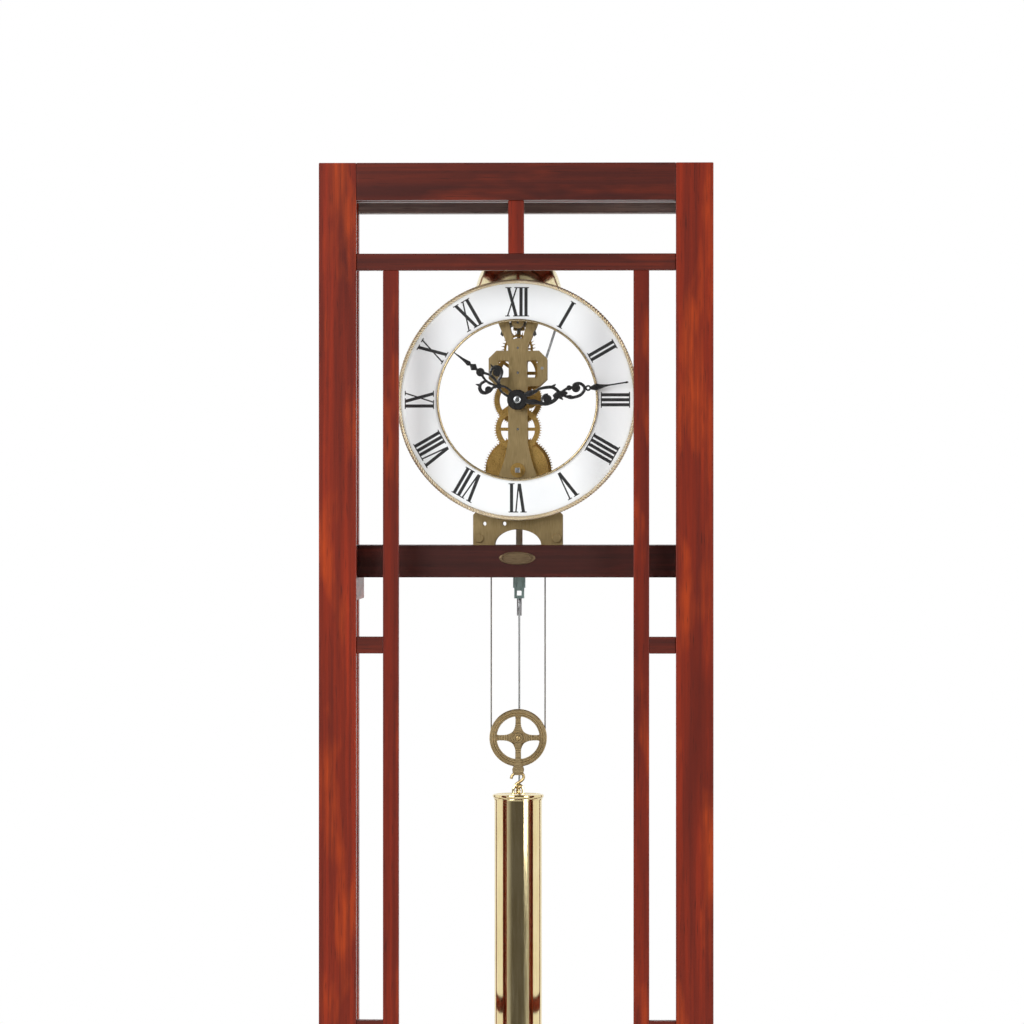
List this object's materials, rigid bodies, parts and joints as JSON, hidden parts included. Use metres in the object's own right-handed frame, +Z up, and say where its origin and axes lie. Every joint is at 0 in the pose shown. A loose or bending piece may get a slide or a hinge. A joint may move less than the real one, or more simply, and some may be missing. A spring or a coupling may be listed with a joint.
{
  "type": "grandfather clock",
  "caption": "Open-frame longcase clock with a skeleton movement, pierced hands, a bell, a seconds pendulum and a brass weight on a pulley.",
  "frame": {"origin": "on the floor, under the middle of the case", "axes": "+Z up, -Y towards the reader (the door), +X to the reader's right"},
  "size_m": [0.4, 0.25, 1.764],
  "materials": {
    "cherry_stile": "red-brown stained cherry, satin lacquer, grain upright",
    "cherry_rail": "dark red-brown stained cherry, satin lacquer, grain level",
    "glass": "clear float glass, 3 mm",
    "brass": "brushed and lacquered",
    "polished_brass": "polished tube, lacquered",
    "bell_brass": "turned and polished",
    "steel": "turned bright steel",
    "steel_cable": "stranded steel cable",
    "blacked_steel": "black lacquered steel",
    "silvered": "silver-white dial finish, satin",
    "glide": "moulded black nylon"
  },
  "bodies": {
    "door": {"door_stile_left": "cherry_stile", "door_stile_right": "cherry_stile", "door_rails": "cherry_rail", "door_bars": "cherry_rail", "door_muntins": "cherry_stile", "door_glass": "glass", "door_glass_beads": "cherry_rail", "hinge_door_leaves": "brass", "catch_keeper": "steel"},
    "case": {"front_posts": "cherry_stile", "back_posts": "cherry_stile", "case_front_rails": "cherry_rail", "case_back_rails": "cherry_rail", "side_rails": "cherry_rail", "case_boards": "cherry_rail", "side_glass": "glass", "back_glass": "glass", "hinge_case_leaves": "brass", "hinge_pins": "brass", "magnetic_catch": "steel", "glides": "glide", "seat_board": "cherry_rail", "badge_plate": "brass", "cable_anchor": "brass", "front_plate": "brass", "back_plate": "brass", "plate_pillars": "brass", "anchor_cock": "brass", "suspension_cock": "brass", "bell_stand": "brass", "bell": "bell_brass", "dial_ring": "silvered", "dial_bezels": "brass", "dial_feet": "brass", "weight_cable": "steel_cable"},
    "centre": {"centre_arbor": "steel", "centre_wheel": "brass", "minute_hand": "blacked_steel"},
    "second": {"second_arbor": "steel", "second_wheel": "brass"},
    "great": {"great_wheel": "brass"},
    "third": {"third_arbor": "steel", "third_wheel": "brass"},
    "escape": {"escape_arbor": "steel", "escape_wheel": "brass"},
    "motion": {"minute_wheel": "brass"},
    "hour": {"hour_wheel": "brass", "hour_hand": "blacked_steel"},
    "drum": {"winding_drum": "brass", "drum_cable": "steel_cable"},
    "anchor_body": {"anchor": "steel"},
    "hammer_body": {"hammer": "steel"},
    "pendulum": {"pendulum_hanger": "steel", "pendulum_rod": "steel"},
    "bob": {"pendulum_bob": "brass"},
    "nut": {"rating_nut": "brass"},
    "weight": {"pulley_strap": "brass", "weight_shell": "polished_brass", "weight_caps": "polished_brass"},
    "pulley_body": {"pulley": "brass"}
  },
  "joints": [
    {"name": "door_hinge", "type": "hinge", "parent": "case", "child": "door", "pos_m": [0.197, -0.10175, 0.886], "axis": [0, 0, 1], "range_deg": [0, 105]},
    {"name": "centre_turn", "type": "hinge", "parent": "case", "child": "centre", "pos_m": [0, -0.02, 1.525], "axis": [0, 1, 0], "continuous": true},
    {"name": "second_turn", "type": "hinge", "parent": "case", "child": "second", "pos_m": [0, -0.02, 1.49525], "axis": [0, 1, 0], "continuous": true},
    {"name": "great_turn", "type": "hinge", "parent": "case", "child": "great", "pos_m": [0, -0.02, 1.45295], "axis": [0, 1, 0], "continuous": true},
    {"name": "third_turn", "type": "hinge", "parent": "case", "child": "third", "pos_m": [0, -0.02, 1.55335], "axis": [0, 1, 0], "continuous": true},
    {"name": "escape_turn", "type": "hinge", "parent": "case", "child": "escape", "pos_m": [0, -0.02, 1.57885], "axis": [0, 1, 0], "continuous": true},
    {"name": "motion_turn", "type": "hinge", "parent": "case", "child": "motion", "pos_m": [0.012, -0.05, 1.525], "axis": [0, 1, 0], "continuous": true},
    {"name": "hour_turn", "type": "hinge", "parent": "case", "child": "hour", "pos_m": [0, -0.06, 1.525], "axis": [0, 1, 0], "continuous": true},
    {"name": "pendulum_swing", "type": "hinge", "parent": "case", "child": "pendulum", "pos_m": [0, 0.026, 1.60485], "axis": [0, 1, 0], "range_deg": [-3, 3]},
    {"name": "anchor_swing", "type": "hinge", "parent": "case", "child": "anchor_body", "pos_m": [0, -0.02, 1.60485], "axis": [0, 1, 0], "range_deg": [-3, 3]},
    {"name": "bob_slide", "type": "slide", "parent": "pendulum", "child": "bob", "axis": [0, 0, 1], "range_m": [-0.005, 0.005]},
    {"name": "nut_turn", "type": "hinge", "parent": "bob", "child": "nut", "pos_m": [0, 0.026, 0.54], "axis": [0, 0, 1], "range_deg": [-2600, 2600]},
    {"name": "weight_slide", "type": "slide", "parent": "case", "child": "weight", "axis": [0, 0, 1], "range_m": [-0.74, 0.12], "deforming": ["weight_cable"]},
    {"name": "drum_turn", "type": "hinge", "parent": "case", "child": "drum", "pos_m": [0, -0.02, 1.45295], "axis": [0, 1, 0], "range_deg": [-500, 3060]},
    {"name": "pulley_turn", "type": "hinge", "parent": "weight", "child": "pulley_body", "pos_m": [0, -0.0255, 1.177], "axis": [0, 1, 0], "range_deg": [-250, 1530]},
    {"name": "hammer_swing", "type": "hinge", "parent": "case", "child": "hammer_body", "pos_m": [0.025, -0.008, 1.558], "axis": [0, 1, 0], "range_deg": [-12, 0.8], "stiffness_Nm_per_rad": 0.02}
  ],
  "couplings": [
    {"joint": "second_turn", "follows": "centre_turn", "ratio": -0.25},
    {"joint": "great_turn", "follows": "centre_turn", "ratio": 0.051282},
    {"joint": "third_turn", "follows": "centre_turn", "ratio": -8},
    {"joint": "escape_turn", "follows": "centre_turn", "ratio": 60},
    {"joint": "motion_turn", "follows": "centre_turn", "ratio": -0.33333},
    {"joint": "hour_turn", "follows": "centre_turn", "ratio": 0.083333},
    {"joint": "anchor_swing", "follows": "pendulum_swing", "ratio": 1},
    {"joint": "nut_turn", "follows": "bob_slide", "rad_per_m": 8976},
    {"joint": "drum_turn", "follows": "weight_slide", "rad_per_m": -71.942},
    {"joint": "pulley_turn", "follows": "weight_slide", "rad_per_m": -35.971}
  ]
}
